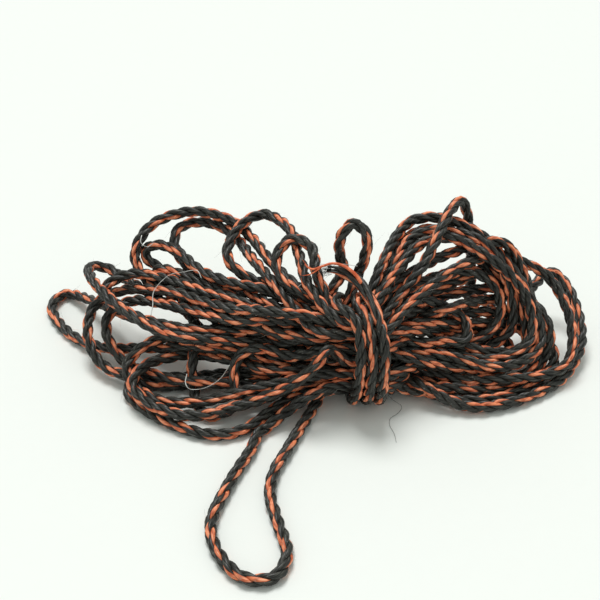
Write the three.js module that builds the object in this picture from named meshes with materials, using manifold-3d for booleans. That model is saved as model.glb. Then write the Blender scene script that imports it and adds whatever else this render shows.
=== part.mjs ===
// A 9.5 mm three-strand truck rope, gathered into a butterfly hank: its loops fan out to the left and
// right of a waist that the rope's own end is wound round. One long bight has slipped out and lies in
// front, and a small one stands up on top.
//
// Frame: millimetres, +X right, +Y away from the front bight, +Z up. The origin is on the floor, under
// the middle of the waist. The hank rests on Z = 0.

import * as THREE from 'three';
import { mergeVertices } from 'three/addons/utils/BufferGeometryUtils.js';
import Module from 'manifold-3d';

const wasm = await Module();
wasm.setup();

// ---------------------------------------------------------------- driving dimensions

const ROPE_DIAMETER = 9.5;
const LOOP_DIAMETER = 10.5; // a loop of the hank, with the slack of the turns that lie along it
const TUBE_SIDES = 8;
const LOOP_STEP = 24; // along a loop, between two sections
const BIGHT_STEP = 18;
const SMALL_BIGHT_STEP = 9;
const GAP = 0.3; // between two pieces that touch

const FLOOR_SEAT = 0.75; // how much of the rope is pressed flat where it rests on the floor
const WAIST_Z = 46; // the middle of the waist, over the origin
const WRAP_HALF_DEPTH = 36; // from the middle of the waist to the middle of a wrap
const WRAP_HALF_HEIGHT = 43;
const WRAP_TURNS = 2.75;
const WRAP_POINTS_PER_TURN = 18;
const WRAP_START_DEGREES = 70; // where the lead-in meets the first turn, up from the front
// How far along the waist a wrap lies, by the degrees that it has turned: 90 is the top of the first turn.
// Each comes over the top from the left and is pulled to the right on the front.
const WRAP_PLACES = [
  [90, 1], [60, 9], [30, 12], [-90, 10], [-270, -8], [-300, 0], [-330, 3], [-450, -1],
  [-630, -24], [-660, -8], [-690, -6], [-810, -12], [-990, -24],
];
const WRAP_STEP = 20;

const CORE_HALF_LENGTH = 64; // the crowded strands at the waist, where no daylight shows
const CORE_WAIST_RADIUS = 29;
const CORE_SHOULDER_RADIUS = 31;
const CORE_SHOULDER_X = 34;
const CORE_NOSE_RADIUS = 20;
const CORE_NOSE_X = 54;
const CORE_HEIGHT_RATIO = 1.12;
const CORE_ROOT_X = 8; // where the middle of each loop's two legs ends, inside the core
const CORE_SEGMENTS = 16;

const FLOOR_WIDTH = 1200; // the block below the floor, which cuts off what would sink into it
const FLOOR_DEPTH = 200;
const WELD = 1e-3; // corners closer than this are one

const BLACK = new THREE.Color(0.03, 0.033, 0.032);
const ROUGHNESS = 0.62;

// ---------------------------------------------------------------- the rope's route, by hand

// Each loop of the hank from the waist, round its bight and back to the waist.
const LEFT_LOOPS = {
  floor_sweep: [[-80, 5, 26], [-123, 14, 8], [-165, 13, 4], [-187, 11, 4], [-191, -3, 4],
    [-184, -17, 4], [-161, -38, 4], [-133, -53, 4], [-114, -56, 4], [-92, -48, 6], [-60, -20, 16]],
  front: [[-70, -10, 32], [-110, 10, 30], [-148, 22, 28], [-176, 13, 20], [-189, -8, 12], [-173, -29, 8],
    [-140, -44, 12], [-104, -36, 16], [-72, -32, 28], [-50, -31, 44], [-37, -25, 56], [-30, -18, 62]],
  far_left: [[-110, 15, 40], [-170, 32, 24], [-220, 48, 10], [-256, 78, 4], [-274, 114, 4], [-264, 132, 4],
    [-232, 104, 16], [-190, 58, 32], [-120, 20, 42]],
  small_tip: [[-100, 12, 50], [-155, 8, 54], [-205, 44, 60], [-229, 80, 60], [-233, 104, 54], [-221, 110, 49],
    [-206, 96, 50], [-172, 66, 54], [-110, 30, 56]],
  hanging: [[-100, 22, 66], [-165, 60, 60], [-204, 79, 46], [-226, 73, 36], [-231, 48, 24], [-217, 22, 10],
    [-185, 4, 6], [-135, 2, 10], [-75, 0, 22]],
  long_back: [[-90, 22, 66], [-130, 46, 65], [-165, 70, 64], [-200, 81, 60], [-216, 70, 54],
    [-198, 48, 48], [-140, 20, 48], [-85, 15, 50]],
  big_arch: [[-55, 26, 78], [-76, 58, 86], [-95, 94, 91], [-113, 114, 95], [-144, 123, 98],
    [-175, 115, 92], [-187, 103, 82], [-190, 90, 68], [-170, 66, 57], [-125, 42, 60], [-75, 20, 62]],
  low_arch: [[-70, 26, 74], [-110, 44, 76], [-134, 62, 76], [-154, 88, 77], [-170, 99, 78],
    [-184, 100, 76], [-189, 96, 71], [-181, 89, 64], [-150, 66, 60], [-110, 36, 58], [-70, 15, 56]],
  top_oval: [[-55, 35, 72], [-95, 52, 78], [-112, 68, 86], [-107, 94, 94], [-85, 112, 101], [-62, 87, 105],
    [-52, 52, 102], [-42, 26, 90]],
  top_ring: [[-36, 32, 95], [-43, 54, 106], [-60, 62, 107], [-72, 50, 98], [-66, 26, 88], [-38, 14, 80]],
};

const RIGHT_LOOPS = {
  outer_double: [[50, 30, 56], [115, 66, 48], [148, 92, 42], [160, 110, 42], [168, 113, 42],
    [179, 100, 36], [185, 52, 16], [164, 14, 6], [125, -11, 4], [85, -21, 4], [50, -8, 12],
    [26, 8, 22]],
  outer: [[30, 15, 80], [80, 56, 89], [114, 78, 83], [142, 83, 70], [160, 80, 56], [174, 50, 33],
    [166, 18, 14], [122, 3, 12], [75, 5, 16], [30, 10, 24]],
  high_arch: [[15, 48, 95], [27, 75, 103], [40, 93, 107], [60, 94, 110], [90, 86, 102], [114, 76, 82],
    [143, 48, 43], [143, 28, 22], [113, 8, 20], [60, 10, 26], [30, 8, 30]],
  second_arch: [[18, 44, 90], [38, 75, 101], [62, 85, 102], [102, 73, 90], [122, 60, 61], [122, 44, 34],
    [92, 28, 20], [38, 10, 26]],
  standing_tip: [[20, 25, 80], [45, 46, 98], [58, 66, 110], [67, 84, 117], [75, 98, 120],
    [81, 103, 120], [86, 104, 110], [92, 99, 72], [96, 94, 26], [86, 82, 4], [44, 30, 8]],
  crossing: [[26, 35, 82], [65, 66, 91], [105, 79, 93], [128, 73, 71], [139, 56, 44], [137, 36, 24],
    [108, 18, 22], [55, 16, 28]],
  inner: [[26, 25, 66], [60, 35, 56], [78, 34, 45], [78, 20, 38], [55, 22, 40], [26, 20, 46]],
  floor_back: [[55, 62, 48], [96, 92, 34], [115, 102, 12], [110, 78, 4], [65, 36, 6], [34, 16, 14]],
};

// The long bight that has slipped out: from under the waist, along the floor, and back to where the
// lowest loop's sweep lies over it.
const FRONT_BIGHT = [[-35, 2, 13], [-37, -9, 8], [-43, -25, 4], [-50, -42, 4], [-57, -58, 4],
  [-64, -76, 4], [-72, -96, 4], [-75, -120, 4], [-69, -148, 4], [-62, -180, 4], [-71, -200, 4],
  [-90, -201, 4], [-108, -182, 4], [-117, -152, 4], [-107, -112, 4], [-93, -74, 4], [-86, -48, 4]];

// The small bight that stands up out of the waist.
const STANDING_BIGHT = [[-18, 42, 92], [-21, 46, 106], [-19, 48, 122], [-9, 51, 131], [2, 47, 122],
  [3, 42, 106], [0, 38, 92]];

// The rope's end lies over the waist from the left, then becomes the first wrap.
const LEAD_IN = [[-31, 30, 102], [-22, 27, 103], [-13, 22, 101], [-3, 11, 97]];

// ---------------------------------------------------------------- shapes

const vectors = (points) => points.map(([x, y, z]) => new THREE.Vector3(x, y, z));

/** A closed tube along hand-placed points, with a regular section and a section every `step` mm. */
function tube(points, diameter, step) {
  const route = new THREE.CatmullRomCurve3(vectors(points), false, 'centripetal');
  const section = new THREE.Shape();
  for (let side = 0; side < TUBE_SIDES; side += 1) {
    const angle = ((side + 0.5) * 2 * Math.PI) / TUBE_SIDES;
    const x = (diameter / 2) * Math.cos(angle);
    const y = (diameter / 2) * Math.sin(angle);
    if (side === 0) section.moveTo(x, y);
    else section.lineTo(x, y);
  }
  section.closePath();
  const steps = Math.max(3, Math.round(route.getLength() / step));
  return new THREE.ExtrudeGeometry(section, { steps, bevelEnabled: false, extrudePath: route });
}

/** The crowded middle of the hank: a spindle along X with a slight waist, taller than it is deep. */
function core() {
  const profile = [
    [0, -CORE_HALF_LENGTH],
    [CORE_NOSE_RADIUS, -CORE_NOSE_X],
    [CORE_SHOULDER_RADIUS, -CORE_SHOULDER_X],
    [CORE_WAIST_RADIUS, 0],
    [CORE_SHOULDER_RADIUS, CORE_SHOULDER_X],
    [CORE_NOSE_RADIUS, CORE_NOSE_X],
    [0, CORE_HALF_LENGTH],
  ].map(([radius, along]) => new THREE.Vector2(radius, along));
  const spindle = new THREE.LatheGeometry(profile, CORE_SEGMENTS);
  spindle.rotateZ(-Math.PI / 2);
  spindle.scale(1, 1, CORE_HEIGHT_RATIO);
  spindle.translate(0, 0, WAIST_Z);
  return spindle;
}

/** The wraps' route: the lead-in, then turns round the waist, flat on the floor below it. */
function wrapRoute() {
  const points = [...LEAD_IN];
  const count = Math.round(WRAP_TURNS * WRAP_POINTS_PER_TURN);
  for (let i = 0; i <= count; i += 1) {
    const turn = i / WRAP_POINTS_PER_TURN;
    const degrees = WRAP_START_DEGREES - 360 * turn;
    const angle = THREE.MathUtils.degToRad(degrees);
    const next = WRAP_PLACES.findIndex(([place]) => place < degrees);
    const [before, after] = WRAP_PLACES.slice(next - 1, next + 1);
    const blend = THREE.MathUtils.smoothstep(before[0] - degrees, 0, before[0] - after[0]);
    points.push([
      THREE.MathUtils.lerp(before[1], after[1], blend),
      -WRAP_HALF_DEPTH * Math.cos(angle),
      Math.max(WAIST_Z + WRAP_HALF_HEIGHT * Math.sin(angle), ROPE_DIAMETER / 2 - FLOOR_SEAT),
    ]);
  }
  return points;
}

// ---------------------------------------------------------------- joins and cuts

/** A manifold solid from a closed three.js geometry. */
function toSolid(geometry) {
  const bare = geometry.clone();
  bare.deleteAttribute('normal');
  bare.deleteAttribute('uv');
  const merged = mergeVertices(bare, WELD);
  return new wasm.Manifold(new wasm.Mesh({
    numProp: 3,
    vertProperties: new Float32Array(merged.attributes.position.array),
    triVerts: new Uint32Array(merged.index.array),
  }));
}

/** The largest single body of a solid: loose slivers and sealed pockets are dropped. */
function largestBody(solid) {
  return solid.decompose().reduce((best, body) => (body.volume() > best.volume() ? body : best));
}

function toGeometry(solid) {
  const { vertProperties, triVerts } = solid.getMesh();
  const geometry = new THREE.BufferGeometry();
  geometry.setAttribute('position', new THREE.BufferAttribute(new Float32Array(vertProperties), 3));
  geometry.setIndex(new THREE.BufferAttribute(new Uint32Array(triVerts), 1));
  return geometry;
}

function toMesh(name, solid) {
  const geometry = toGeometry(solid);
  geometry.computeVertexNormals();
  const mesh = new THREE.Mesh(geometry, new THREE.MeshStandardMaterial({
    color: BLACK, roughness: ROUGHNESS, metalness: 0,
  }));
  mesh.name = name;
  return mesh;
}

const floorBlock = new THREE.BoxGeometry(FLOOR_WIDTH, FLOOR_WIDTH, FLOOR_DEPTH);
floorBlock.translate(0, 0, -FLOOR_DEPTH / 2);
const underFloor = toSolid(floorBlock);

/** The same tube twice: as it is, cut flat by the floor, and a gap wider, to clear its neighbours. */
function ropeRun(points, step) {
  const clearDiameter = ROPE_DIAMETER + (2 * GAP) / Math.cos(Math.PI / TUBE_SIDES);
  return {
    solid: largestBody(toSolid(tube(points, ROPE_DIAMETER, step)).subtract(underFloor)),
    clearance: toSolid(tube(points, clearDiameter, step)),
  };
}

// ---------------------------------------------------------------- the pieces

const wraps = ropeRun(wrapRoute(), WRAP_STEP);
const frontBight = ropeRun(FRONT_BIGHT, BIGHT_STEP);
const standingBight = ropeRun(STANDING_BIGHT, SMALL_BIGHT_STEP);

let hank = toSolid(core());
for (const [loops, side] of [[LEFT_LOOPS, -1], [RIGHT_LOOPS, 1]]) {
  for (const points of Object.values(loops)) {
    const root = [side * CORE_ROOT_X, 0, WAIST_Z];
    hank = hank.add(toSolid(tube([root, ...points, root], LOOP_DIAMETER, LOOP_STEP)));
  }
}
for (const run of [wraps, frontBight, standingBight]) hank = hank.subtract(run.clearance);
hank = largestBody(toSolid(toGeometry(largestBody(hank.subtract(underFloor)))));

const rope = new THREE.Group();
rope.add(
  toMesh('hank', hank),
  toMesh('waist_wraps', wraps.solid),
  toMesh('front_bight', frontBight.solid),
  toMesh('standing_bight', standingBight.solid),
);

export default rope;
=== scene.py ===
# %% [markdown]
# # A coiled frayed rope
#
# A worn three-strand truck rope, black with one orange yarn in every strand. It was laid up in a
# butterfly hank: turns to the left and right in one hand, then the end wound round the waist. One
# long bight has slipped out and lies in front, and a small one stands up out of the waist.
#
# The frame comes first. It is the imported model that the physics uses, and it gives the size and the
# place of everything made here.

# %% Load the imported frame
import math

import bpy
import numpy as np
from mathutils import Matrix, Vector


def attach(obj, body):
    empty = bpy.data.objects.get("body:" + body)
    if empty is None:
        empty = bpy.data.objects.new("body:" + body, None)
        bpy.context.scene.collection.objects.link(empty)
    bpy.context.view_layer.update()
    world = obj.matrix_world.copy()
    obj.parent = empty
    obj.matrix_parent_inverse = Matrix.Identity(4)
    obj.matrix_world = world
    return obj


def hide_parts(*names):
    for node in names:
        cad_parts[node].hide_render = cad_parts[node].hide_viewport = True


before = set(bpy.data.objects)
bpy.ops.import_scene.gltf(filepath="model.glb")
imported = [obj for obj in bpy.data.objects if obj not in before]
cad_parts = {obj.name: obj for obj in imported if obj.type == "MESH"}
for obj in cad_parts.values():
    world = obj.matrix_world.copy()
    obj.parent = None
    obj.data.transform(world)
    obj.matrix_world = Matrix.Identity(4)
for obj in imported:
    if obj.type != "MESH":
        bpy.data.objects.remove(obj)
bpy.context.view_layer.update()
print("nodes:", ", ".join(sorted(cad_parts)))

# %% [markdown]
# ## Camera
#
# The hank lies on a table and is looked down on from a person's height, so the camera tilts down by
# two fifths of a right angle. A long lens keeps the near bight from looking too large. An empty with
# a Track To constraint would also aim it. Turning the camera by its own angle is simpler here,
# because it doesn't turn to either side.

# %% Camera
CAMERA_ELEVATION = math.radians(36)
CAMERA_AIM = Vector((-0.053, 0.0, 0.094))
CAMERA_DISTANCE = 0.945
CAMERA_LENS_MM = 73.3

bpy.ops.object.camera_add(rotation=(math.radians(90) - CAMERA_ELEVATION, 0, 0))
camera = bpy.context.object
camera.name = "camera"
camera.location = CAMERA_AIM + CAMERA_DISTANCE * Vector(
    (0, -math.cos(CAMERA_ELEVATION), math.sin(CAMERA_ELEVATION))
)
camera.data.lens = CAMERA_LENS_MM
bpy.context.scene.camera = camera
print("camera at", [round(x, 3) for x in camera.location])

# %% [markdown]
# ## The rope's facts
#
# A laid rope is three strands twisted round each other to the right, and each strand is five yarns
# twisted to the left, so the yarns end up almost in line with the rope. The lay is the length of one
# full turn of a strand. All lengths in the scene are metres, and MM turns millimetres into them.

# %% The rope's facts
MM = 0.001
LAY = 37 * MM
STRANDS = 3
YARNS = 5
YARN_TURNS_PER_LAY = 1.8
RINGS_PER_LAY = 12
RING_STEP = LAY / RINGS_PER_LAY
print(f"{STRANDS} strands of {YARNS} yarns, a ring of points every {RING_STEP / MM:.1f} mm")

# %% [markdown]
# ## The route, loop by loop
#
# The route is given here and is the same as the frame's. Each loop leaves the waist, goes out to
# its tip and comes back. Points are millimetres to the right, to the back and up, from the table under
# the middle of the waist. Simulating a hand that lays up a rope would give some hank, but not this
# one. A turn that rests on the table is drawn at 4, and is lifted later until its strands only touch.

# %% The loops that the frame also has
LEFT_LOOPS = {
    "floor_sweep": [
        (-80, 5, 26), (-123, 14, 8), (-165, 13, 4), (-187, 11, 4), (-191, -3, 4),
        (-184, -17, 4), (-161, -38, 4), (-133, -53, 4), (-114, -56, 4), (-92, -48, 6),
        (-60, -20, 16),
    ],
    "front": [
        (-70, -10, 32), (-110, 10, 30), (-148, 22, 28), (-176, 13, 20), (-189, -8, 12),
        (-173, -29, 8), (-140, -44, 12), (-104, -36, 16),
        (-72, -32, 28), (-50, -31, 44), (-37, -25, 56), (-30, -18, 62),
    ],
    "far_left": [
        (-110, 15, 40), (-170, 32, 24), (-220, 48, 10), (-256, 78, 4), (-274, 114, 4),
        (-264, 132, 4), (-232, 104, 16), (-190, 58, 32), (-120, 20, 42),
    ],
    "small_tip": [
        (-100, 12, 50), (-155, 8, 54), (-205, 44, 60), (-229, 80, 60), (-233, 104, 54),
        (-221, 110, 49), (-206, 96, 50), (-172, 66, 54), (-110, 30, 56),
    ],
    "hanging": [
        (-100, 22, 66), (-165, 60, 60), (-204, 79, 46), (-226, 73, 36), (-231, 48, 24),
        (-217, 22, 10), (-185, 4, 6), (-135, 2, 10), (-75, 0, 22),
    ],
    "long_back": [
        (-90, 22, 66), (-130, 46, 65), (-165, 70, 64), (-200, 81, 60), (-216, 70, 54),
        (-198, 48, 48), (-140, 20, 48), (-85, 15, 50),
    ],
    "big_arch": [
        (-55, 26, 78), (-76, 58, 86), (-95, 94, 91), (-113, 114, 95), (-144, 123, 98),
        (-175, 115, 92), (-187, 103, 82), (-190, 90, 68), (-170, 66, 57), (-125, 42, 60),
        (-75, 20, 62),
    ],
    "low_arch": [
        (-70, 26, 74), (-110, 44, 76), (-134, 62, 76), (-154, 88, 77), (-170, 99, 78),
        (-184, 100, 76), (-189, 96, 71), (-181, 89, 64), (-150, 66, 60), (-110, 36, 58),
        (-70, 15, 56),
    ],
    "top_oval": [
        (-55, 35, 72), (-95, 52, 78), (-112, 68, 86), (-107, 94, 94),
        (-85, 112, 101), (-62, 87, 105), (-52, 52, 102), (-42, 26, 90),
    ],
    "top_ring": [
        (-36, 32, 95), (-43, 54, 106), (-60, 62, 107), (-72, 50, 98), (-66, 26, 88), (-38, 14, 80),
    ],
}
RIGHT_LOOPS = {
    "outer_double": [
        (50, 30, 56), (115, 66, 48), (148, 92, 42), (160, 110, 42), (168, 113, 42),
        (179, 100, 36), (185, 52, 16), (164, 14, 6), (125, -11, 4), (85, -21, 4), (50, -8, 12),
        (26, 8, 22),
    ],
    "outer": [
        (30, 15, 80), (80, 56, 89), (114, 78, 83), (142, 83, 70), (160, 80, 56), (174, 50, 33),
        (166, 18, 14), (122, 3, 12), (75, 5, 16), (30, 10, 24),
    ],
    "high_arch": [
        (15, 48, 95), (27, 75, 103), (40, 93, 107), (60, 94, 110), (90, 86, 102), (114, 76, 82),
        (143, 48, 43), (143, 28, 22), (113, 8, 20), (60, 10, 26), (30, 8, 30),
    ],
    "second_arch": [
        (18, 44, 90), (38, 75, 101), (62, 85, 102), (102, 73, 90), (122, 60, 61), (122, 44, 34),
        (92, 28, 20), (38, 10, 26),
    ],
    "standing_tip": [
        (20, 25, 80), (45, 46, 98), (58, 66, 110), (67, 84, 117), (75, 98, 120), (81, 103, 120),
        (86, 104, 110), (92, 99, 72), (96, 94, 26), (86, 82, 4), (44, 30, 8),
    ],
    "crossing": [
        (26, 35, 82), (65, 66, 91), (105, 79, 93), (128, 73, 71), (139, 56, 44), (137, 36, 24),
        (108, 18, 22), (55, 16, 28),
    ],
    "inner": [
        (26, 25, 66), (60, 35, 56), (78, 34, 45), (78, 20, 38), (55, 22, 40), (26, 20, 46),
    ],
    "floor_back": [
        (55, 62, 48), (96, 92, 34), (115, 102, 12), (110, 78, 4), (65, 36, 6), (34, 16, 14),
    ],
}
BIGHTS = {
    "front_bight": [
        (-35, 2, 13), (-37, -9, 8), (-43, -25, 4), (-50, -42, 4), (-57, -58, 4), (-64, -76, 4),
        (-72, -96, 4), (-75, -120, 4), (-69, -148, 4), (-62, -180, 4), (-71, -200, 4),
        (-90, -201, 4), (-108, -182, 4), (-117, -152, 4), (-107, -112, 4), (-93, -74, 4),
        (-86, -48, 4),
    ],
    "standing_bight": [
        (-18, 42, 92), (-21, 46, 106), (-19, 48, 122), (-9, 51, 131),
        (2, 47, 122), (3, 42, 106), (0, 38, 92),
    ],
}
print(len(LEFT_LOOPS), "loops to the left,", len(RIGHT_LOOPS), "to the right")

# %% [markdown]
# ## The fine turns
#
# The frame leaves the hank's fine turns out: the loops that fill the space between the ones above.
# They lie deeper in the bulk, so their places matter less than their number, which is what makes
# the hank look full. Copies of the main loops would be quicker, but they would look alike.

# %% The fine turns
FINE_TURNS = {
    "under_big_arch": [
        (-60, 30, 80), (-88, 70, 86), (-108, 109, 88), (-130, 123, 89), (-149, 123, 88),
        (-159, 114, 86), (-161, 101, 81), (-150, 82, 72), (-100, 46, 68), (-55, 15, 70),
    ],
    "inside_hanging": [
        (-100, 20, 58), (-160, 50, 54), (-195, 66, 44), (-213, 60, 34), (-214, 42, 24),
        (-196, 18, 10), (-160, 2, 8), (-100, -2, 18),
    ],
    "left_heart": [
        (-60, 20, 62), (-105, 30, 68), (-131, 46, 68), (-152, 64, 67), (-170, 78, 66),
        (-178, 82, 60), (-170, 76, 54), (-140, 56, 50), (-100, 20, 46), (-60, 5, 46),
    ],
    "low_heart": [
        (-60, 2, 40), (-85, 10, 42), (-102, 8, 34), (-106, -6, 22), (-98, -22, 12),
        (-60, -12, 18),
    ],
    "behind_front": [
        (-95, 15, 34), (-145, 25, 34), (-178, 19, 28), (-190, 9, 16),
        (-171, -15, 8), (-135, -25, 10), (-85, -20, 20),
    ],
    "upright_front": [
        (-75, 15, 50), (-120, 25, 46), (-140, 20, 30), (-140, -5, 10),
        (-125, -35, 6), (-90, -20, 12), (-55, -10, 24),
    ],
    "left_middle": [
        (-70, 10, 50), (-106, 40, 52), (-128, 52, 56), (-140, 52, 60), (-146, 46, 58),
        (-143, 40, 52), (-138, 36, 46), (-131, 33, 34), (-118, 26, 24), (-80, 10, 24),
    ],
    "under_high_arch": [
        (15, 40, 88), (40, 70, 100), (70, 80, 102), (110, 65, 84),
        (135, 50, 52), (135, 30, 26), (100, 15, 16), (45, 15, 28),
    ],
    "second_high": [
        (16, 44, 90), (34, 76, 103), (58, 90, 105), (88, 81, 97), (114, 68, 74), (132, 50, 42),
        (132, 30, 22), (105, 10, 16), (50, 8, 24),
    ],
    "right_heart": [
        (30, 34, 70), (60, 52, 78), (90, 60, 80), (112, 54, 66), (112, 38, 46), (85, 25, 28),
        (30, 8, 26),
    ],
    "right_floor": [
        (40, 22, 52), (90, 40, 44), (135, 42, 30), (148, 20, 18), (125, 0, 8), (70, -8, 8),
        (30, 0, 14),
    ],
    "right_middle": [
        (50, 40, 64), (80, 60, 66), (110, 80, 68), (125, 60, 50), (120, 50, 34), (82, 32, 14),
        (32, 10, 20),
    ],
    "low_right": [
        (35, 30, 56), (90, 60, 60), (130, 65, 56), (150, 40, 30),
        (130, 10, 8), (70, -5, 8), (30, 10, 18),
    ],
    "lower_right": [
        (45, 25, 50), (105, 50, 46), (145, 45, 34), (155, 25, 16),
        (115, -5, 6), (70, -10, 6), (25, 5, 12),
    ],
    "lowest_right": [
        (35, 20, 48), (95, 45, 36), (125, 35, 22), (105, 20, 12), (55, 20, 18),
    ],
}
print(len(LEFT_LOOPS) + len(RIGHT_LOOPS) + len(FINE_TURNS) + len(BIGHTS), "loops and bights")

# %% [markdown]
# ## The wraps round the waist
#
# The end comes over the waist from the left and goes round it nearly three times. A winding is worked
# out by a loop, not drawn: the angle goes down steadily, and the place along the waist slides between
# a few chosen values. Each wrap comes over the top from the left and is pulled to the right in front.
# A Screw modifier makes a winding too, but an even one. WRAP_PLACES pairs an angle with a place in mm.

# %% The wraps
LEAD_IN = [(-31, 30, 102), (-22, 27, 103), (-13, 22, 101), (-3, 11, 97)]
WRAP_HEIGHT = 46
WRAP_HALF_DEPTH = 36
WRAP_HALF_HEIGHT = 43
WRAP_TURNS = 2.75
WRAP_START_DEGREES = 70
WRAP_POINTS_PER_TURN = 18
WRAP_PLACES = [
    (90, 1), (60, 9), (30, 12), (-90, 10), (-270, -8), (-300, 0), (-330, 3), (-450, -1),
    (-630, -24), (-660, -8), (-690, -6), (-810, -12), (-990, -24),
]


def wrap_point(turn):
    """The centre of the rope, in mm, after that many turns round the waist."""
    degrees = WRAP_START_DEGREES - 360 * turn
    angle = math.radians(degrees)
    following = next(i for i, (place, x) in enumerate(WRAP_PLACES) if place < degrees)
    before, after = WRAP_PLACES[following - 1 : following + 1]
    part = (before[0] - degrees) / (before[0] - after[0])
    x = before[1] + (after[1] - before[1]) * part * part * (3 - 2 * part)
    y = -WRAP_HALF_DEPTH * math.cos(angle)
    z = WRAP_HEIGHT + WRAP_HALF_HEIGHT * math.sin(angle)
    return (x, y, z)


wrap_steps = round(WRAP_TURNS * WRAP_POINTS_PER_TURN)
WRAPS = LEAD_IN + [wrap_point(i / WRAP_POINTS_PER_TURN) for i in range(wrap_steps + 1)]
print(f"{WRAP_TURNS} wraps, {len(WRAPS)} points")

# %% [markdown]
# ## One rope through every loop
#
# The hank is one rope, so the loops are strung together in the order that the hand laid them: out to
# the left, back through the waist, out to the right. A name with a minus is run the other way, so
# that a leg that comes back low goes on low. Closed rings would be simpler, but no rope has them.

# %% The order of the loops
ORDER = """
    floor_sweep -lower_right small_tip low_right front -outer_double long_back lowest_right
    -inside_hanging right_floor behind_front -second_arch big_arch crossing front_bight -outer
    under_big_arch right_middle -left_heart second_high far_left -under_high_arch -top_oval inner
    low_heart -right_heart left_middle floor_back -hanging standing_tip -upright_front -high_arch
    top_ring standing_bight low_arch
""".split()
ALL_LOOPS = {**LEFT_LOOPS, **RIGHT_LOOPS, **BIGHTS, **FINE_TURNS}
TAIL = [(20, 22, 56), (45, 34, 54), (66, 45, 50)]


def loop_points(name):
    """A loop's points in the order that the rope goes through them."""
    points = ALL_LOOPS[name.lstrip("-")]
    return points[::-1] if name.startswith("-") else points


assert sorted(name.lstrip("-") for name in ORDER) == sorted(ALL_LOOPS)
legs = [np.array(loop_points(name), float) for name in ORDER]
print(len(legs), "loops in one rope")

# %% [markdown]
# ## Packing the waist
#
# Between two loops the rope crosses the waist, inside the wraps. Each crossing starts from the mean
# height and depth of the two legs that it joins. Then all of them are pushed apart, step by step,
# until each has room of its own, as ropes in a tight bundle find theirs. A regular grid of places
# would be simpler, but then the legs would have to cross each other to reach them.

# %% Pack the crossings into the waist
ROOM = 9.8
WAIST_MIDDLE = (0, WRAP_HEIGHT)
WAIST_HALF_SIZE = (WRAP_HALF_DEPTH - ROOM, WRAP_HALF_HEIGHT - ROOM)
PACK_STEPS = 400
PACK_PUSH = 0.3
PACK_PULL = 0.01


def pack_waist(wanted):
    """Depths and heights near the wanted ones, a rope apart and inside the wraps."""
    places = wanted.copy()
    itself = np.eye(len(places))
    for _ in range(PACK_STEPS):
        apart = places[:, None] - places[None]
        far = np.linalg.norm(apart, axis=2) + itself
        push = np.clip(ROOM - far, 0, None) * (1 - itself)
        places += (apart / far[..., None] * push[..., None]).sum(1) * PACK_PUSH
        places += (wanted - places) * PACK_PULL
        in_circle = (places - WAIST_MIDDLE) / WAIST_HALF_SIZE
        size = np.maximum(np.linalg.norm(in_circle, axis=1), 1)[:, None]
        places = in_circle / size * WAIST_HALF_SIZE + WAIST_MIDDLE
    return places


next_legs = legs[1:] + [np.array(TAIL, float)]
crossings = pack_waist(np.array([(a[-1][1:] + b[0][1:]) / 2 for a, b in zip(legs, next_legs)]))
print(len(crossings), "crossings in the waist")

# %% [markdown]
# ## A smooth line through the points
#
# A centripetal Catmull-Rom curve passes through every point and doesn't overshoot where points are
# close together, so it bends like rope. It is sampled finely and then walked at even steps. Blender's
# own curves would do for one loop. Here the next steps need the points themselves, as numbers.

# %% Curve through the points
def smooth_curve(points, samples):
    """A centripetal Catmull-Rom curve through the points, with that many steps between each two."""
    line = np.vstack([2 * points[:1] - points[1:2], points, 2 * points[-1:] - points[-2:-1]])
    knots = np.sqrt(np.linalg.norm(np.diff(line, axis=0), axis=1))
    made = []
    for i in range(1, len(line) - 2):
        before, span, after = knots[i - 1 : i + 2]
        start = (line[i] - line[i - 1]) / before - (line[i + 1] - line[i - 1]) / (before + span)
        start = (start + (line[i + 1] - line[i]) / span) * span
        end = (line[i + 2] - line[i + 1]) / after - (line[i + 2] - line[i]) / (span + after)
        end = (end + (line[i + 1] - line[i]) / span) * span
        part = np.linspace(0, 1, samples, endpoint=False)[:, None]
        square, cube = part**2, part**3
        made.append(
            (2 * cube - 3 * square + 1) * line[i]
            + (cube - 2 * square + part) * start
            + (3 * square - 2 * cube) * line[i + 1]
            + (cube - square) * end
        )
    return np.vstack(made + [points[-1:]])


def walk(line, step):
    """Points about that far apart along a line, and how far along each one is."""
    along = np.append(0, np.cumsum(np.linalg.norm(np.diff(line, axis=0), axis=1)))
    places = np.linspace(0, along[-1], round(along[-1] / step) + 1)
    return np.stack([np.interp(places, along, line[:, k]) for k in range(3)], 1), places


print("curve helpers ready")

# %% [markdown]
# ## Stringing the loops together
#
# The rope's frayed end and the wraps come first. Then comes loop after loop, with up to three points
# inside the waist between two of them, and last the hidden end. A mark keeps which points a loop has,
# so that it can be found again after the line has been smoothed and settled.

# %% String the loops together
WAIST_STATIONS = (-34, -12, 10)
STATION_MARGIN = 8
NODE_STEP = 5
FLOOR_CENTRE = 4.9
SAMPLES = 24


def through_waist(before, after, crossing):
    """The points inside the waist between two legs, in the order that the rope meets them."""
    low, high = sorted((before[0], after[0]))
    inside = [x for x in WAIST_STATIONS if low + STATION_MARGIN < x < high - STATION_MARGIN]
    if before[0] > after[0]:
        inside.reverse()
    return [(x, crossing[0], crossing[1]) for x in inside]


points, marks = list(WRAPS), {}
for name, leg, next_leg, crossing in zip(ORDER, legs, next_legs, crossings):
    first = len(points)
    points += [tuple(p) for p in leg]
    marks[name.lstrip("-")] = (first, len(points) - 1)
    points += through_waist(points[-1], next_leg[0], crossing)
points = np.array(points + TAIL, float)

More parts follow.
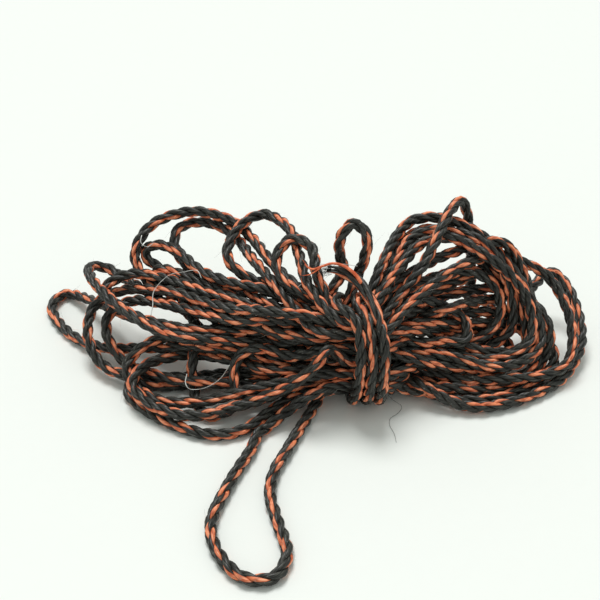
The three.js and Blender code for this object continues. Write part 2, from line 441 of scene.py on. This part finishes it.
drawn = smooth_curve(points, SAMPLES)
drawn[:, 2] = np.maximum(drawn[:, 2], FLOOR_CENTRE)
drawn_along = np.append(0, np.cumsum(np.linalg.norm(np.diff(drawn, axis=0), axis=1)))
chosen, chosen_along = walk(drawn, NODE_STEP)
wraps_end = drawn_along[(len(WRAPS) - 1) * SAMPLES]
print(f"{len(points)} points and {drawn_along[-1] / 1000:.2f} m of rope")
print(f"{wraps_end / 1000:.2f} m of it is wraps")

# %% [markdown]
# ## Settling the turns
#
# Lines drawn by hand pass through each other. Here every point of the rope is a small ball. Balls
# that are closer than a diameter push each other apart, and the push is spread along the rope, so a
# turn moves over in a long low hump. A weak pull brings the rope back to its drawn place where there
# is room, and the table holds it up. A cloth or rigid-body simulation could do this too. This is
# quicker, and it gives the same rope every time. The main loops are held the most, because their
# places are known. Near the waist, and in the fine turns, the rope gives way more easily.

# %% How firmly each point is held
WAIST_PULL, FINE_PULL, LOOP_PULL = 0.004, 0.008, 0.03
LOOSE_LENGTH = 25


def spread_along(moves):
    """Moves shared with the points before and after, three times over."""
    for _ in range(3):
        padded = np.vstack([moves[:1], moves, moves[-1:]])
        moves = (padded[:-2] + 2 * padded[1:-1] + padded[2:]) / 4
    return moves


fixed = chosen_along <= wraps_end
pull = np.full(len(chosen), WAIST_PULL)
for name, (first, last) in marks.items():
    start, end = drawn_along[[first * SAMPLES, last * SAMPLES]]
    in_loop = (chosen_along > start + LOOSE_LENGTH) & (chosen_along < end - LOOSE_LENGTH)
    pull[in_loop] = FINE_PULL if name in FINE_TURNS else LOOP_PULL
pull = spread_along(pull[:, None])
print(len(chosen), "points,", int(fixed.sum()), "of them in the wraps, which don't move")

# %% [markdown]
# ## Pushing the turns apart
#
# Each step pushes the pairs that are too close, spreads the moves along the rope and pulls every point
# back a little. The wraps don't move. Close pairs are looked for again only now and then, with some
# margin, because looking takes far longer than pushing.

# %% Settle the rope
SETTLE_STEPS = 260
SEARCH_EVERY = 10
SEARCH_MARGIN = 8
NEIGHBOURS = 4
APART = 9.7
PUSH = 0.45
LONGEST_MOVE = 1.5
LEAST_DISTANCE = 0.01


def close_pairs(places, reach):
    """Pairs of points nearer than reach that don't follow each other along the rope."""
    square = (places**2).sum(1)
    far = square[:, None] + square[None] - 2 * places @ places.T
    first, second = np.nonzero(far < reach**2)
    keep = second - first > NEIGHBOURS
    return first[keep], second[keep]


places = chosen.copy()
for step in range(SETTLE_STEPS):
    if step % SEARCH_EVERY == 0:
        first, second = close_pairs(places, APART + SEARCH_MARGIN)
    apart = places[second] - places[first]
    far = np.maximum(np.linalg.norm(apart, axis=1), LEAST_DISTANCE)
    push = apart / far[:, None] * (np.clip(APART - far, 0, None) * PUSH)[:, None]
    moves = np.zeros_like(places)
    for k in range(3):
        moves[:, k] += np.bincount(second, push[:, k], len(places))
        moves[:, k] -= np.bincount(first, push[:, k], len(places))
    offset = places + np.clip(moves, -LONGEST_MOVE, LONGEST_MOVE) - chosen
    offset = spread_along(offset) * (1 - pull)
    offset[fixed] = 0
    places = chosen + offset
    places[:, 2] = np.maximum(places[:, 2], FLOOR_CENTRE)

first, second = close_pairs(places, APART)
far = np.linalg.norm(places[second] - places[first], axis=1)
touching = np.zeros(len(places))
np.maximum.at(touching, first, APART - far)
np.maximum.at(touching, second, APART - far)
moved = np.linalg.norm(places - chosen, axis=1)
print(f"moved {moved.mean():.1f} mm on average, {moved.max():.1f} at most")
for depth in (1, 2, 4):
    print(f"{(touching > depth).mean():.1%} of the points are squeezed by over {depth} mm")

# %% [markdown]
# ## Stretches of rope
#
# The settled line is walked once more, at twelve rings to a lay. Then it is cut where the frame's
# own solids begin and end, and the long parts between once more, so that no piece is too heavy. The
# strands run on in step from one piece to the next, so a cut doesn't show.

# %% Cut the rope into stretches
SETTLED_SAMPLES = 4
settled = smooth_curve(places, SETTLED_SAMPLES) * MM
settled_along = np.append(0, np.cumsum(np.linalg.norm(np.diff(settled, axis=0), axis=1)))
centres, ring_along = walk(settled, RING_STEP)
centres[:, 2] = np.maximum(centres[:, 2], FLOOR_CENTRE * MM)
rope_length = float(ring_along[-1])


def ring_at(drawn_length):
    """The ring that lies that many drawn mm along the rope."""
    node = round(drawn_length / drawn_along[-1] * (len(places) - 1))
    return int(np.searchsorted(ring_along, settled_along[node * SETTLED_SAMPLES]))


def mark(name, end):
    """The ring where a named loop starts, or ends."""
    return ring_at(drawn_along[marks[name][end] * SAMPLES])


cuts = [
    ("rope_end", 0, ring_at(wraps_end), "waist_wraps"),
    ("rope_turns_1", ring_at(wraps_end), mark("outer_double", 1), "hank"),
    ("rope_turns_2", mark("outer_double", 1), mark("front_bight", 0), "hank"),
    ("rope_front_bight", mark("front_bight", 0), mark("front_bight", 1), "front_bight"),
    ("rope_turns_3", mark("front_bight", 1), mark("inner", 1), "hank"),
    ("rope_turns_4", mark("inner", 1), mark("standing_bight", 0), "hank"),
    ("rope_standing_bight", mark("standing_bight", 0), mark("standing_bight", 1), "standing_bight"),
    ("rope_turns_5", mark("standing_bight", 1), len(centres) - 1, "hank"),
]
for name, first, last, _ in cuts:
    print(f"{name}: {(last - first) * RING_STEP:.2f} m")
print(f"{rope_length:.2f} m of rope in all, {len(centres)} rings")

# %% [markdown]
# ## Frames that don't twist
#
# A strand winds round the rope's line, so every ring needs a sideways direction to start from. Taking
# it from the world's up would make the rope spin where the line is steep. Each ring's direction is
# instead carried on from the ring before, turned only as much as the line itself turns.

# %% Carry a sideways direction along the rope
ahead = np.gradient(centres, axis=0)
ahead /= np.linalg.norm(ahead, axis=1)[:, None]
sideways = np.empty_like(ahead)
sideways[0] = np.cross(ahead[0], (0.0, 0.0, 1.0))
for i in range(1, len(centres)):
    carried = sideways[i - 1] - ahead[i] * (sideways[i - 1] @ ahead[i])
    sideways[i] = carried / np.linalg.norm(carried)
upward = np.cross(ahead, sideways)
print(len(sideways), "sideways directions")

# %% [markdown]
# ## Strands and their yarns
#
# Each strand is a tube with four lines of points to a yarn. The line between two yarns is sunk, so
# the grooves are real, and the lines follow the yarns' own twist, so a groove never crosses a face.
# Where two strands press on each other they are flat. A wedge nearly a third of a turn wide gives
# that, and leaves a hair's gap. The orange yarn is a little wider than the four black ones. Real yarns
# wander, so slow waves along the rope turn the strand a little and swell it. The frayed end has lost
# most of its twist. A twisted Array modifier on a curve could lay the strands as well, but not the
# yarns' own twist.

# %% The strands' surface
STRAND_RADIUS = 2.72 * MM
STRAND_OUT = 2.2 * MM
POINTS_PER_YARN = 4
SIDES = YARNS * POINTS_PER_YARN
YARN_SHAPE = np.tile([0.885, 0.975, 1.0, 0.975], YARNS)
YARN_WIDTHS = np.radians([84, 69, 69, 69, 69])
CORNER_ANGLES = np.roll(np.cumsum(np.repeat(YARN_WIDTHS, POINTS_PER_YARN)) / POINTS_PER_YARN, 1)
WEDGE_FIT = 0.985
WEDGE = math.tan(math.radians(60)) * WEDGE_FIT
INNERMOST = 0.05 * MM
STRAND_STARTS = np.radians([0, 40, -110])
DRIFT = math.radians(24)
DRIFT_WAVES = ((21, 2.1), (57, 4))
SWELL = 0.03
SWELL_WAVE, SWELL_STAGGER = 130, 2.4
LOOSE_END = 62 * MM
LOOSE_TWIST = 0.4
END_TAPER = 14 * MM
THINNEST = 0.35


def strand_points(rings, strand):
    """The points of one strand on the given rings: an array of rings by sides by three."""
    along = rings * RING_STEP
    along = along - (1 - LOOSE_TWIST) * np.minimum(along, LOOSE_END)
    lay_angle = 2 * math.pi * (along / LAY + strand / STRANDS)
    drift = DRIFT * sum(np.sin(along * wave + strand * stagger) for wave, stagger in DRIFT_WAVES)
    yarn_angle = STRAND_STARTS[strand] + drift - YARN_TURNS_PER_LAY * 2 * math.pi * along / LAY
    around = yarn_angle[:, None] + CORNER_ANGLES
    swell = 1 + SWELL * np.sin(along * SWELL_WAVE + strand * SWELL_STAGGER)[:, None]
    thinned = np.clip(rings * RING_STEP / END_TAPER, THINNEST, 1)[:, None]
    reach = STRAND_RADIUS * YARN_SHAPE * swell * thinned
    out = np.maximum(STRAND_OUT + reach * np.cos(around), INNERMOST)
    across = np.clip(reach * np.sin(around), -WEDGE * out, WEDGE * out)
    cos, sin = np.cos(lay_angle)[:, None], np.sin(lay_angle)[:, None]
    on_side = out * cos - across * sin
    on_up = out * sin + across * cos
    return (
        centres[rings][:, None]
        + on_side[..., None] * sideways[rings][:, None]
        + on_up[..., None] * upward[rings][:, None]
    )


print(SIDES, "points round a strand")

# %% [markdown]
# ## Closed tubes
#
# A strand, a loose yarn and a single thread are all closed tubes, so two helpers make all the rope's
# meshes. A bevelled curve would close and smooth itself, but its faces couldn't be told apart by yarn.
# The points are already in the scene's own space, so every piece stays at the origin, unturned.

# %% Meshes from points
def mesh_piece(name, points, faces):
    """A smooth mesh object from points and faces, linked to the scene."""
    mesh = bpy.data.meshes.new(name)
    mesh.from_pydata(points.tolist(), [], faces)
    mesh.polygons.foreach_set("use_smooth", [True] * len(faces))
    piece = bpy.data.objects.new(name, mesh)
    bpy.context.scene.collection.objects.link(piece)
    return piece


def tube_faces(rings, sides, offset):
    """Quads of a closed tube that face outwards, and a cap at each end."""
    faces = []
    for i in range(rings - 1):
        here, there = offset + i * sides, offset + (i + 1) * sides
        for j in range(sides):
            k = (j + 1) % sides
            faces.append((here + j, here + k, there + k, there + j))
    faces.append(tuple(offset + j for j in reversed(range(sides))))
    faces.append(tuple(offset + (rings - 1) * sides + j for j in range(sides)))
    return faces


print("mesh helpers ready")

# %% [markdown]
# ## A piece for each stretch
#
# Every corner of a face is given two places. One is for the finish: how far along the rope it is, how
# far round the strand in yarns, and which strand it is on. The other is its place on a flat image,
# where each strand is laid out in rows, so that the long thin rope fills a square. Unwrapping by angle
# would cut the strands anywhere, and the rows wouldn't be straight.

# %% One piece for each stretch
ROW_LENGTH = 0.37
ROW_MARGIN = 0.02
CAP_PLACE = 0.001


def rope_piece(name, first, last):
    """The three strands between two rings as one mesh, with each corner's place on its yarn."""
    rings = np.arange(first, last + 1)
    points, faces = [], []
    for strand in range(STRANDS):
        faces += tube_faces(len(rings), SIDES, strand * len(rings) * SIDES)
        points.append(strand_points(rings, strand).reshape(-1, 3))
    piece = mesh_piece(name, np.vstack(points), faces)
    mesh = piece.data
    per_tube = (len(rings) - 1) * SIDES
    rows = max(1, round((last - first) * RING_STEP / ROW_LENGTH))
    per_row = math.ceil((len(rings) - 1) / rows)
    ring, side = np.divmod(np.arange(per_tube), SIDES)
    corner_ring = ring[:, None] + (0, 0, 1, 1)
    corner_side = side[:, None] + (0, 1, 1, 0)
    row = (ring // per_row)[:, None]
    along = (first + corner_ring) * RING_STEP
    around = corner_side / POINTS_PER_YARN
    u = (corner_ring - row * per_row) / per_row
    in_row = ROW_MARGIN + (1 - 2 * ROW_MARGIN) * corner_side / SIDES
    on_yarn, on_image, colours = [], [], []
    for strand in range(STRANDS):
        on_yarn.append(np.stack([along, around, 0 * along + strand], -1).reshape(-1, 3))
        v = (row * STRANDS + strand + in_row) / (rows * STRANDS)
        on_image.append(np.stack([u, v], -1).reshape(-1, 2))
        colours.append((side < POINTS_PER_YARN).astype(int))
        for end in (first, last):
            cap = [(end * RING_STEP, 0, strand)] * SIDES
            on_yarn.append(np.array(cap, float))
            on_image.append(np.full((SIDES, 2), CAP_PLACE))
            colours.append(np.zeros(1, int))
    place = mesh.attributes.new("yarn_place", "FLOAT_VECTOR", "CORNER")
    place.data.foreach_set("vector", np.vstack(on_yarn).ravel())
    mesh.uv_layers.new(name="UVMap").data.foreach_set("uv", np.vstack(on_image).ravel())
    mesh.polygons.foreach_set("material_index", np.concatenate(colours))
    mesh.update()
    return piece


stretches = []
for name, first, last, node in cuts:
    piece = rope_piece(name, first, last)
    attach(piece, "root")
    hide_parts(node)
    stretches.append(piece)
    print(name, len(piece.data.polygons) * 2, "triangles")

# %% [markdown]
# ## Shader maths as plain sums
#
# A material is a graph of nodes, and a sum in it is a Math node. This small class wraps a node's
# output, so that a sum of values reads like a sum and adds its own nodes. The other form of each
# operator is there too, because 1 - mask starts with a plain number.

# %% A value in a shader
class Value:
    """One number that a shader works out at every point of a surface."""

    def __init__(self, finish, socket):
        self.finish = finish
        self.socket = socket

    def maths(self, operation, first, second=0.0):
        """A Math node that works on two values or numbers."""
        settings = {"operation": operation}
        return self.finish.node("ShaderNodeMath", settings, {0: first, 1: second})

    def __add__(self, other):
        return self.maths("ADD", self, other)

    def __sub__(self, other):
        return self.maths("SUBTRACT", self, other)

    def __mul__(self, other):
        return self.maths("MULTIPLY", self, other)

    def __rsub__(self, other):
        return self.maths("SUBTRACT", other, self)

    __radd__ = __add__
    __rmul__ = __mul__

    def kept_in_range(self):
        """The value, no lower than 0 and no higher than 1."""
        return self.finish.node(
            "ShaderNodeClamp", {}, {"Value": self, "Min": 0.0, "Max": 1.0}, "Result"
        )


# The Mix node has sockets of the same names for numbers and for colours. These are the colours'.
MIX_FACTOR, MIX_FIRST, MIX_SECOND, MIX_RESULT = 0, 6, 7, 2


class Finish:
    """A material and the nodes that make it."""

    def __init__(self, name):
        self.material = bpy.data.materials.new(name)
        self.material.use_nodes = True
        self.nodes = self.material.node_tree.nodes
        self.links = self.material.node_tree.links
        self.nodes.clear()

    def node(self, kind, settings=None, sockets=None, output=0):
        """Adds a node, sets its settings and then its sockets, and gives one of its outputs."""
        made = self.nodes.new(kind)
        for name, value in (settings or {}).items():
            setattr(made, name, value)
        for name, value in (sockets or {}).items():
            if isinstance(value, Value):
                self.links.new(value.socket, made.inputs[name])
            else:
                made.inputs[name].default_value = value
        return Value(self, made.outputs[output])

    def mix(self, mask, first, second):
        """One colour, blended into a second one where the mask is 1."""
        sockets = {MIX_FACTOR: mask, MIX_FIRST: first, MIX_SECOND: second}
        return self.node("ShaderNodeMix", {"data_type": "RGBA"}, sockets, MIX_RESULT)

    def noise(self, place, scale, detail=2.0, roughness=0.5, stretch=(1, 1, 1)):
        """Noise between 0 and 1, its place multiplied by a stretch for each axis."""
        stretched = self.node("ShaderNodeMapping", {}, {"Vector": place, "Scale": stretch})
        sockets = {"Vector": stretched, "Scale": scale, "Detail": detail, "Roughness": roughness}
        return self.node("ShaderNodeTexNoise", {}, sockets, "Fac")

    def band(self, value, low, high):
        """0 where the value is under low, 1 where it is over high, and smooth between."""
        settings = {"interpolation_type": "SMOOTHSTEP"}
        sockets = {"Value": value, "From Min": low, "From Max": high}
        return self.node("ShaderNodeMapRange", settings, sockets)

    def shader(self, **sockets):
        """A Principled shader with those sockets, joined to the material's output."""
        named = {name.replace("_", " "): value for name, value in sockets.items()}
        surface = self.node("ShaderNodeBsdfPrincipled", {}, named)
        output = self.nodes.new("ShaderNodeOutputMaterial")
        self.links.new(surface.socket, output.inputs["Surface"])
        return self.material


print("shader helpers ready")

# %% [markdown]
# ## The yarns' finish
#
# The yarns are slit plastic film, twisted. Film has a soft gloss in fine lines along it, and here that
# gloss is painted into the colour as lighter lines, a painted sheen. Stretches where the film turns
# away from the light are painted almost black, and the grooves between yarns are painted dark: both
# are painted shade. Years of use have left pale scuffs on the crowns, in patches, and a little dust.
# The fine lines read each corner's place on its own yarn, so they follow the twist all the way along.
# The patches read the object's own space, because wear and dirt come to the hank and not to one yarn.
# A tiled picture of a rope would be quicker, but it would repeat every few turns.

# %% Finish of the yarns
SCUFF_COLOUR = (0.50, 0.50, 0.46, 1)
SCUFF_STRENGTH = 0.35
DUST_COLOUR = (0.34, 0.33, 0.29, 1)
DUST_STRENGTH = 0.10
SHADE_STRENGTH = 0.75
BUMP_STRENGTH = 0.35
BUMP_DEPTH = 0.2 * MM


def yarn_finish(name, painted_shade, plain, painted_sheen, gloss):
    """Twisted film with scuffs and dust, a painted sheen, and painted shade in stretches and grooves.
    """
    finish = Finish(name)
    place = finish.node("ShaderNodeAttribute", {"attribute_name": "yarn_place"}, {}, "Vector")
    space = finish.node("ShaderNodeTexCoord", {}, {}, "Object")
    around = finish.node("ShaderNodeSeparateXYZ", {}, {"Vector": place}, "Y")
    across = around.maths("FRACT", around)
    groove = finish.band(around.maths("ABSOLUTE", across - 0.5), 0.26, 0.5)

    fibres = finish.noise(place, scale=1.0, detail=3.0, roughness=0.6, stretch=(90, 7, 11))
    sheen = finish.noise(place, scale=1.0, stretch=(160, 1.6, 5))
    patches = finish.noise(space, scale=38.0, detail=3.0, roughness=0.6)
    specks = finish.noise(space, scale=420.0, roughness=0.6)

    # The lighter colour along the fine lines is a painted sheen: the film's gloss painted into the
    # colour.
    colour = finish.mix(finish.band(fibres, 0.42, 0.72), plain, painted_sheen)
    # Near-black stretches along the yarn are painted shade, for where the film turns away from the
    # light.
    colour = finish.mix(finish.band(sheen, 0.60, 0.34) * SHADE_STRENGTH, colour, painted_shade)
    # The grooves between yarns are painted dark: painted shade in the recesses.
    colour = finish.mix(groove * SHADE_STRENGTH, colour, painted_shade)
    scuffs = finish.band(specks, 0.60, 0.74) * finish.band(patches, 0.48, 0.62)
    colour = finish.mix(scuffs * (1 - groove) * SCUFF_STRENGTH, colour, SCUFF_COLOUR)
    dust = finish.band(patches, 0.50, 0.75) * finish.band(fibres, 0.35, 0.6)
    colour = finish.mix(dust * DUST_STRENGTH, colour, DUST_COLOUR)

    rough = gloss + 0.22 * patches + 0.12 * fibres + 0.25 * groove
    height = fibres * 0.6 + specks * 0.4
    relief = {"Strength": BUMP_STRENGTH, "Distance": BUMP_DEPTH, "Height": height}
    bump = finish.node("ShaderNodeBump", {}, relief, "Normal")
    return finish.shader(
        Base_Color=colour, Roughness=rough.kept_in_range(), Normal=bump, Specular_IOR_Level=0.36
    )


# In both films the darkest colour is painted shade, the lightest is a painted sheen, and plain is the
# yarn's own colour.
BLACK_FILM = yarn_finish(
    "black film yarn",
    painted_shade=(0.002, 0.0022, 0.002, 1),
    plain=(0.015, 0.016, 0.013, 1),
    painted_sheen=(0.115, 0.116, 0.096, 1),
    gloss=0.22,
)
ORANGE_FILM = yarn_finish(
    "orange film yarn",
    painted_shade=(0.36, 0.050, 0.012, 1),
    plain=(0.86, 0.240, 0.095, 1),
    painted_sheen=(0.98, 0.530, 0.330, 1),
    gloss=0.34,
)
for piece in stretches:
    piece.data.materials.append(BLACK_FILM)
    piece.data.materials.append(ORANGE_FILM)
print("yarn finishes on", len(stretches), "stretches")

# %% [markdown]
# ## Loose fibres
#
# Everything that has come out of the lay is a thin tube, and most of them taper: the long yarn at the
# frayed end, the fuzz and the stray threads. A bevelled curve would do for one. There are about two
# thousand, so one function makes all the tubes of a piece as a single mesh.

# %% Thin tubes
# No thread runs along this direction, so a sideways direction can be found from it.
NOT_ALONG = (0.13, 0.31, 0.94)


def tube_rings(route, radii, sides, flat):
    """The points of one tube along a route. Its rings are round where flat is 1, thinner below."""
    route, radii = np.array(route, float), np.array(radii, float)
    forward = np.gradient(route, axis=0)
    forward /= np.linalg.norm(forward, axis=1)[:, None]
    side = np.cross(forward, NOT_ALONG)
    side /= np.linalg.norm(side, axis=1)[:, None]
    up = np.cross(forward, side)
    turn = 2 * math.pi * np.arange(sides) / sides
    ring = np.cos(turn)[:, None] * side[:, None] + flat * np.sin(turn)[:, None] * up[:, None]
    return (route[:, None] + radii[:, None, None] * ring).reshape(-1, 3)


def tubes_piece(name, tubes, sides, material):
    """One piece of many closed tubes, each given as its route, its radii and its flatness."""
    points, faces, offset = [], [], 0
    for route, radii, flat in tubes:
        points.append(tube_rings(route, radii, sides, flat))
        faces += tube_faces(len(route), sides, offset)
        offset += len(points[-1])
    piece = mesh_piece(name, np.vstack(points), faces)
    piece.data.materials.append(material)
    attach(piece, "root")
    print(f"{name}: {len(tubes)} tubes, {len(faces)} faces")
    return piece


def fibre_finish(name, dark, light, roughness):
    """Loose film in two shades of one colour, which change every few millimetres."""
    finish = Finish(name)
    space = finish.node("ShaderNodeTexCoord", {}, {}, "Object")
    shade = finish.band(finish.noise(space, scale=240.0), 0.35, 0.65)
    colour = finish.mix(shade, dark, light)
    return finish.shader(Base_Color=colour, Roughness=roughness, Specular_IOR_Level=0.4)


BLACK_FIBRE = fibre_finish("black fibre", (0.006, 0.007, 0.006, 1), (0.05, 0.055, 0.05, 1), 0.45)
ORANGE_FIBRE = fibre_finish("orange fibre", (0.55, 0.09, 0.025, 1), (0.88, 0.24, 0.10, 1), 0.5)
PALE_FIBRE = fibre_finish("pale fibre", (0.42, 0.43, 0.40, 1), (0.66, 0.67, 0.63, 1), 0.5)

# %% [markdown]
# ## The frayed end
#
# The orange yarns have come out of the rope's end and lie on over the waist as one loose yarn, which
# splits near its tip. Short black film ends stick out beneath them, where the strands fall apart. The
# yarn is given point by point, because it shows.

# %% The loose yarn
LOOSE_YARN = [
    (-5, 13, 100.5), (-9, 17, 105), (-14, 21, 108), (-20, 25, 109.5), (-28, 26, 110.5),
    (-36, 24, 109), (-42, 24, 106.5), (-46, 27, 105.5), (-49, 30, 107),
]
SPLIT_TIP = [(-36, 24, 109), (-41, 22, 105.5), (-46, 22, 102.5), (-51, 23, 101)]
FORKED_TIP = [(-45, 26, 105.6), (-48, 29, 107), (-51, 32, 110)]
LOOSE_TUBES = [(LOOSE_YARN, 2.0, 0.8), (SPLIT_TIP, 1.1, 0.25), (FORKED_TIP, 0.7, 0.15)]
LOOSE_FLATNESS = 0.75
ROUTE_SAMPLES = 5


def eased_route(points):
    """A smooth route in metres through a few points in mm."""
    return smooth_curve(np.array(points, float), ROUTE_SAMPLES) * MM


loose = []
for points, thick, thin in LOOSE_TUBES:
    route = eased_route(points)
    loose.append((route, np.linspace(thick, thin, len(route)) * MM, LOOSE_FLATNESS))
loose_yarn = tubes_piece("loose_orange_yarn", loose, sides=8, material=ORANGE_FIBRE)

# %% [markdown]
# ## The film ends
#
# Each film end leaves the rope's end with the rope, spreads a little and bends down and forward under
# its own weight. Their places, lengths and bends are drawn at random, with a seed that never changes,
# so that every run gives the same ends.

# %% The film ends
FILM_ENDS = 46
FILM_SEED = 7
FILM_LENGTHS = (5, 26)
FILM_ROOTS = (0.5, 4)
FILM_SPREAD, FILM_FORWARD, FILM_BEND = 0.25, 0.25, 0.22
MOST_DROP = 0.45
FILM_RADII = (0.42, 0.08)
FILM_THICKNESS = (0.5, 1)
FILM_FLATNESS = 0.4
THREAD_POINTS = 5


def film_end(random):
    """One film end's route, radii and flatness: out of the rope's end, then down and forward."""
    turn = random.uniform(0, 2 * math.pi)
    out = math.cos(turn) * sideways[0] + math.sin(turn) * upward[0]
    long = random.uniform(*FILM_LENGTHS) * MM
    root = centres[1] + out * random.uniform(*FILM_ROOTS) * MM
    drop = np.array([0, -FILM_FORWARD, -random.uniform(0, MOST_DROP)])
    bend = random.normal(0, FILM_BEND, 3)
    steps = np.linspace(0, 1, THREAD_POINTS)[:, None]
    route = root + long * (steps * (FILM_SPREAD * out - ahead[0]) + steps**2 * (bend + drop))
    radii = np.linspace(*FILM_RADII, THREAD_POINTS) * MM * random.uniform(*FILM_THICKNESS)
    return route, radii, FILM_FLATNESS


fray = np.random.default_rng(FILM_SEED)
film_ends = [film_end(fray) for _ in range(FILM_ENDS)]
film_end_piece = tubes_piece("frayed_film_ends", film_ends, sides=4, material=BLACK_FIBRE)

# %% [markdown]
# ## Fuzz along the rope
#
# Worn film splits into fine threads that stand off the rope, and most curl back to it. Each thread
# starts at the rope's surface, runs mostly along the rope and lifts off it. The lengths are drawn so
# that most are short. A hair system would look the same in a render, but it has no mesh to hand on.

# %% Fuzz
FUZZ = {
    "fuzz_black": (1500, BLACK_FIBRE),
    "fuzz_orange": (260, ORANGE_FIBRE),
    "fuzz_pale": (240, PALE_FIBRE),
}
FUZZ_FIRST_SEED = 20
FUZZ_RING_MARGIN = 4
FUZZ_SHORTEST, FUZZ_MEAN_EXTRA, FUZZ_LONGEST = 2, 3.2, 13
FUZZ_ROOT = 4.3
FUZZ_SKEW = 0.45
FUZZ_LIFT = (0.15, 0.75)
FUZZ_CURL = (-0.5, 0.25)
FUZZ_RADIUS = (0.05, 0.11)
FUZZ_TIP = 0.4
FUZZ_FLATNESS = (0.5, 1)
FUZZ_FLOOR = 0.2 * MM


def fuzz_thread(random):
    """One thread's route, radii and flatness, at a random place on the rope."""
    ring = random.integers(FUZZ_RING_MARGIN, len(centres) - FUZZ_RING_MARGIN)
    turn = random.uniform(0, 2 * math.pi)
    out = math.cos(turn) * sideways[ring] + math.sin(turn) * upward[ring]
    way = ahead[ring] * random.choice([-1, 1])
    across = np.cross(out, way) * random.normal(0, FUZZ_SKEW)
    long = min(FUZZ_SHORTEST + random.exponential(FUZZ_MEAN_EXTRA), FUZZ_LONGEST) * MM
    lift = random.uniform(*FUZZ_LIFT)
    curl = random.uniform(*FUZZ_CURL)
    steps = np.linspace(0, 1, THREAD_POINTS)[:, None]
    root = centres[ring] + out * FUZZ_ROOT * MM
    route = root + long * (steps * (way + across + lift * out) + steps**2 * curl * out)
    route[:, 2] = np.maximum(route[:, 2], FUZZ_FLOOR)
    radii = np.linspace(1, FUZZ_TIP, THREAD_POINTS) * (random.uniform(*FUZZ_RADIUS) * MM)
    return route, radii, random.uniform(*FUZZ_FLATNESS)


for seed, (name, (count, material)) in enumerate(FUZZ.items(), FUZZ_FIRST_SEED):
    random = np.random.default_rng(seed)
    threads = [fuzz_thread(random) for _ in range(count)]
    tubes_piece(name, threads, sides=3, material=material)

# %% [markdown]
# ## Stray threads
#
# A few threads have pulled right out and show on their own. A pale one lies across the upper left
# turns, one hangs in the front loop, one is hooked over a bight at the back and one lies by the frayed
# end. A dark one curls out over the table from under the waist. They are given point by point, because
# each shows on its own, and the pale ones are thick enough to show from the camera.

# %% Stray threads
PALE_THREADS = [
    [
        (-173, 22, 62), (-172, 32, 66), (-172, 40, 72), (-167, 45, 78), (-158, 49, 84),
        (-148, 48, 87), (-136, 46, 90), (-132, 38, 88),
    ],
    [
        (-143, -12, 30), (-144, -18, 26), (-141, -23, 24), (-134, -24, 24), (-125, -25, 28),
        (-116, -23, 34), (-111, -23, 42), (-108, -23, 48),
    ],
    [(-186, 98, 90), (-186, 90, 88), (-181, 88, 85), (-176, 92, 86)],
    [(-8, 26, 108), (-24, 34, 104), (-38, 30, 97), (-52, 24, 92), (-60, 22, 84)],
]
DARK_THREAD = [
    (14, -6, 9), (22, -12, 3), (29, -17, 0.5), (26, -25, 0.4), (19, -32, 0.4),
    (18, -40, 0.4), (21, -50, 0.4), (22, -60, 0.4),
]
PALE_RADIUS, PALE_FLATNESS = 0.42 * MM, 0.5
DARK_RADIUS, DARK_FLATNESS = 0.13 * MM, 1.0


def even_thread(points, radius, flat):
    """A thread of one thickness all the way through a few points in mm."""
    route = eased_route(points)
    return route, np.full(len(route), radius), flat


pale = [even_thread(points, PALE_RADIUS, PALE_FLATNESS) for points in PALE_THREADS]
tubes_piece("pale_threads", pale, sides=5, material=PALE_FIBRE)
dark = [even_thread(DARK_THREAD, DARK_RADIUS, DARK_FLATNESS)]
tubes_piece("dark_thread", dark, sides=5, material=BLACK_FIBRE)

# %% [markdown]
# ## Each stretch's path and length
#
# Every stretch is a free rope of a real length. A stretch goes back into the bundle at both ends,
# except at the rope's two real ends, which are bare. A path starts where the rope leaves the bundle,
# so the frayed end's own path is turned to run from the waist outwards. The loose yarn and the film
# ends come out of that stretch and are listed with it. The paths, lengths and lists are worked out
# here and not passed on.

def declare(first, last, far_end):
    """Works out a stretch's path along its own ring centres and its length, and keeps neither."""
    path = centres[first : last + 1]
    if far_end == "bare" and first == 0:
        path = path[::-1]
    (last - first) * RING_STEP


BARE_STRETCHES = ("rope_end", "rope_turns_5")
for piece, (name, first, last, _) in zip(stretches, cuts):
    far_end = "bare" if name in BARE_STRETCHES else "object"
    with_pieces = [loose_yarn, film_end_piece] if name == "rope_end" else []
    declare(first, last, far_end)
print(len(stretches), "stretches declared as rope")

# %% [markdown]
# ## Table and light
#
# The rope lies on a plain pale table under soft light from high up and a little behind, so the soft
# shadow falls in front of the waist and the film glints along the tops of the turns. A wide sun gives
# that light, because it stays as bright all over the table, where an area lamp would fall off. The
# world's even grey stands for the pale room and lightens the shadows.

# %% Table and light
SUN_BEHIND = math.radians(24)
SUN_TO_LEFT = math.radians(6)
SUN_WIDTH = math.radians(26)
SUN_STRENGTH = 2.1
ROOM_STRENGTH = 0.6
ROOM_COLOUR = (0.94, 0.97, 0.94, 1)
TABLE_SIZE = 12
TABLE_DULL = (0.80, 0.83, 0.79, 1)
TABLE_CLEAR = (0.84, 0.87, 0.83, 1)
TABLE_GRAIN = 0.3

bpy.ops.mesh.primitive_plane_add(size=TABLE_SIZE)
table = bpy.context.object
table.name = "table"
table_finish = Finish("pale table")
table_space = table_finish.node("ShaderNodeTexCoord", {}, {}, "Object")
grain = table_finish.noise(table_space, scale=90.0, detail=3.0)
table_colour = table_finish.mix(grain * TABLE_GRAIN, TABLE_DULL, TABLE_CLEAR)
table.data.materials.append(table_finish.shader(Base_Color=table_colour, Roughness=0.7))

bpy.ops.object.light_add(type="SUN", rotation=(-SUN_BEHIND, -SUN_TO_LEFT, 0))
sun = bpy.context.object
sun.data.energy = SUN_STRENGTH
sun.data.angle = SUN_WIDTH
world = bpy.data.worlds.new("pale room")
world.use_nodes = True
background = world.node_tree.nodes["Background"]
background.inputs["Color"].default_value = ROOM_COLOUR
background.inputs["Strength"].default_value = ROOM_STRENGTH
bpy.context.scene.world = world
bpy.context.scene.view_settings.view_transform = "Standard"
print("table, sun and the room's light")
